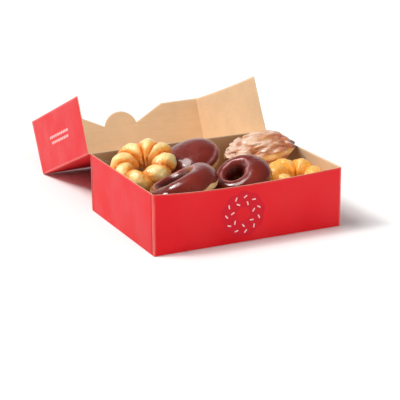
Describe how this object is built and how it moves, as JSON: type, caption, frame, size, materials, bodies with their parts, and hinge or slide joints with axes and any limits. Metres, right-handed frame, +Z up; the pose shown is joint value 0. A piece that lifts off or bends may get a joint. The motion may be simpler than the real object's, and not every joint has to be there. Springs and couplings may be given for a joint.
{
  "type": "box of doughnuts",
  "caption": "Shallow paperboard tray with a hinged skirted lid lying open behind it, filled with iced rings, crullers, a filled round and a glazed fritter.",
  "frame": {"origin": "on the table, under the middle of the tray's floor", "axes": "+X along the tray's width, +Y from the tray's front to the lid lying behind it, +Z up"},
  "size_m": [0.242, 0.3975, 0.1343],
  "materials": {
    "tray_board": "satin print outside, bare kraft inside",
    "lid_board": "satin print outside, bare kraft inside",
    "doughnut_dough": "matte fried dough",
    "chocolate_icing": "glossy set icing",
    "glazed_choux": "honey glaze",
    "glazed_fritter": "cracked sugar glaze"
  },
  "bodies": {
    "tray": {"tray": "tray_board", "ring_front_left": "doughnut_dough", "ring_front_left_icing": "chocolate_icing", "ring_front_middle": "doughnut_dough", "ring_front_middle_icing": "chocolate_icing", "cruller_back_left": "glazed_choux", "cruller_front_right": "glazed_choux", "round_back_middle": "doughnut_dough", "round_back_middle_icing": "chocolate_icing", "fritter_back_right": "glazed_fritter", "lower_front_left": "doughnut_dough", "lower_front_middle": "doughnut_dough", "lower_front_right": "doughnut_dough", "lower_back_left": "doughnut_dough", "lower_back_middle": "doughnut_dough", "lower_back_right": "doughnut_dough"},
    "lid": {"lid": "lid_board"}
  },
  "joints": [
    {"name": "lid_hinge", "type": "hinge", "parent": "tray", "child": "lid", "pos_m": [0, 0.093, 0.071], "axis": [1, 0, 0], "range_deg": [0, 170]}
  ]
}
